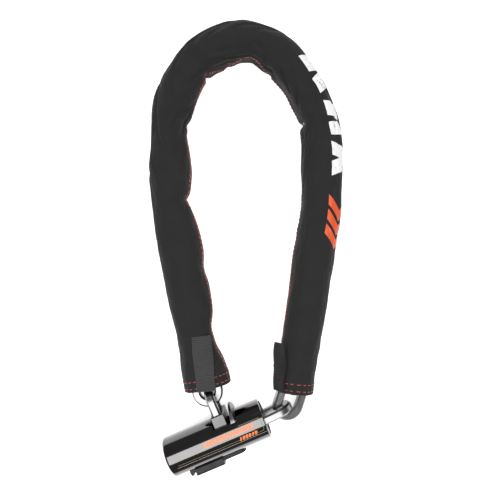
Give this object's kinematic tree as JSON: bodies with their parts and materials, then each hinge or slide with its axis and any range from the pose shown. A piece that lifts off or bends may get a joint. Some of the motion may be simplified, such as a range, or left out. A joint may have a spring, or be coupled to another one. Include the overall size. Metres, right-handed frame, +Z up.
{
  "type": "chain lock",
  "caption": "Square-bar chain in a woven sleeve, closed by a round key lock whose sliding bolt holds the end plug dropped into its socket",
  "frame": {"origin": "on the ground, under the middle of the lock's overall box", "axes": "+X to the right leg, +Y from the lock up to the loop's bend, +Z up from the surface it lies on"},
  "size_m": [0.23, 0.5464, 0.0505],
  "materials": {
    "barrel_finish": "glossy black chrome",
    "polished_steel": "polished",
    "chain_zinc": "bright zinc plate",
    "satin_steel": "satin",
    "dark_steel": "black oxide",
    "brass": "machined",
    "cover_plastic": "fine texture",
    "sleeve_fabric": "woven polyester",
    "strap_fabric": "ribbed webbing",
    "zinc_casting": "die cast"
  },
  "bodies": {
    "sleeve_ends": {"sleeve_ends": "sleeve_fabric", "sleeve_fold_lower": "sleeve_fabric", "lower_links": "chain_zinc"},
    "middle_span": {"sleeve_middle": "sleeve_fabric", "sleeve_fold_middle": "sleeve_fabric", "middle_links": "chain_zinc"},
    "upper_span": {"sleeve_upper": "sleeve_fabric", "sleeve_fold_upper": "sleeve_fabric", "upper_links": "chain_zinc"},
    "top_bend": {"sleeve_bend": "sleeve_fabric", "bend_links": "chain_zinc"},
    "left_strap": {"left_strap": "strap_fabric"},
    "right_strap": {"right_strap": "strap_fabric"},
    "ring_link": {"ring_link": "chain_zinc"},
    "end_plug": {"end_link": "chain_zinc", "end_plug": "satin_steel", "plug_pin": "polished_steel"},
    "right_link": {"right_link": "chain_zinc"},
    "captive_link": {"captive_link": "chain_zinc"},
    "lock_body": {"barrel": "barrel_finish", "left_end_cap": "barrel_finish", "rear_core": "zinc_casting", "bolt_spring": "satin_steel", "cylinder_carrier": "zinc_casting", "cylinder_shell": "brass", "keyway_ring": "satin_steel", "socket_block": "polished_steel", "anchor_block": "dark_steel", "captive_pin": "polished_steel", "right_cap": "dark_steel", "retaining_pins": "polished_steel", "dust_rail": "cover_plastic", "rail_rivets": "satin_steel"},
    "key_plug": {"key_plug": "brass", "key_wafers": "brass", "bolt_cam": "satin_steel"},
    "locking_bolt": {"locking_bolt": "satin_steel"},
    "dust_slider": {"dust_slider": "cover_plastic", "slider_leaf": "satin_steel"}
  },
  "joints": [
    {"name": "lower_fold", "type": "hinge", "parent": "sleeve_ends", "child": "middle_span", "pos_m": [0.00456, -0.07357, 0.0212], "axis": [1, 0, 0], "range_deg": [0, 60], "deforming": ["sleeve_fold_lower"]},
    {"name": "middle_fold", "type": "hinge", "parent": "middle_span", "child": "upper_span", "pos_m": [0.00456, 0.01397, 0.0212], "axis": [1, 0, 0], "range_deg": [0, 60], "deforming": ["sleeve_fold_middle"]},
    {"name": "upper_fold", "type": "hinge", "parent": "upper_span", "child": "top_bend", "pos_m": [0.00456, 0.12743, 0.0212], "axis": [1, 0, 0], "range_deg": [0, 60], "deforming": ["sleeve_fold_upper"]},
    {"name": "ring_link_sway", "type": "hinge", "parent": "sleeve_ends", "child": "ring_link", "pos_m": [-0.05066, -0.14661, 0.0222], "axis": [0, 0, 1], "range_deg": [-0.5, 0.4]},
    {"name": "end_plug_rock", "type": "hinge", "parent": "ring_link", "child": "end_plug", "pos_m": [-0.04278, -0.1782, 0.024], "axis": [0, 0, 1], "range_deg": [-0.5, 0.6]},
    {"name": "right_link_sway", "type": "hinge", "parent": "sleeve_ends", "child": "right_link", "pos_m": [0.05833, -0.16431, 0.0222], "axis": [0, 0, 1], "range_deg": [0, 3]},
    {"name": "lock_swing", "type": "hinge", "parent": "right_link", "child": "captive_link", "pos_m": [0.04946, -0.19056, 0.024], "axis": [0, 0, 1], "range_deg": [0, 25]},
    {"name": "captive_link_rock", "type": "hinge", "parent": "captive_link", "child": "lock_body", "pos_m": [0.01595, -0.20647, 0.024], "axis": [0, 0, 1], "range_deg": [0, 5]},
    {"name": "key_turn", "type": "hinge", "parent": "lock_body", "child": "key_plug", "pos_m": [-0.0438, -0.25624, 0.024], "axis": [-0.3891, 0.9212, 0], "range_deg": [0, 90]},
    {"name": "bolt_slide", "type": "slide", "parent": "lock_body", "child": "locking_bolt", "axis": [0.9212, 0.3891, 0], "range_m": [0, 0.014], "deforming": ["bolt_spring"]},
    {"name": "dust_cover_slide", "type": "slide", "parent": "lock_body", "child": "dust_slider", "axis": [0.9212, 0.3891, 0], "range_m": [0, 0.028]},
    {"name": "left_strap_lift", "type": "hinge", "parent": "sleeve_ends", "child": "left_strap", "pos_m": [-0.04634, -0.16815, 0.0438], "axis": [0.9954, 0.0958, 0], "range_deg": [0, 100]},
    {"name": "right_strap_open", "type": "hinge", "parent": "sleeve_ends", "child": "right_strap", "pos_m": [0.03856, -0.16885, 0.04], "axis": [0.5, -0.0044, 0.866], "range_deg": [0, 60]}
  ],
  "couplings": [
    {"joint": "bolt_slide", "follows": "key_turn", "m_per_rad": 0.0089127}
  ]
}
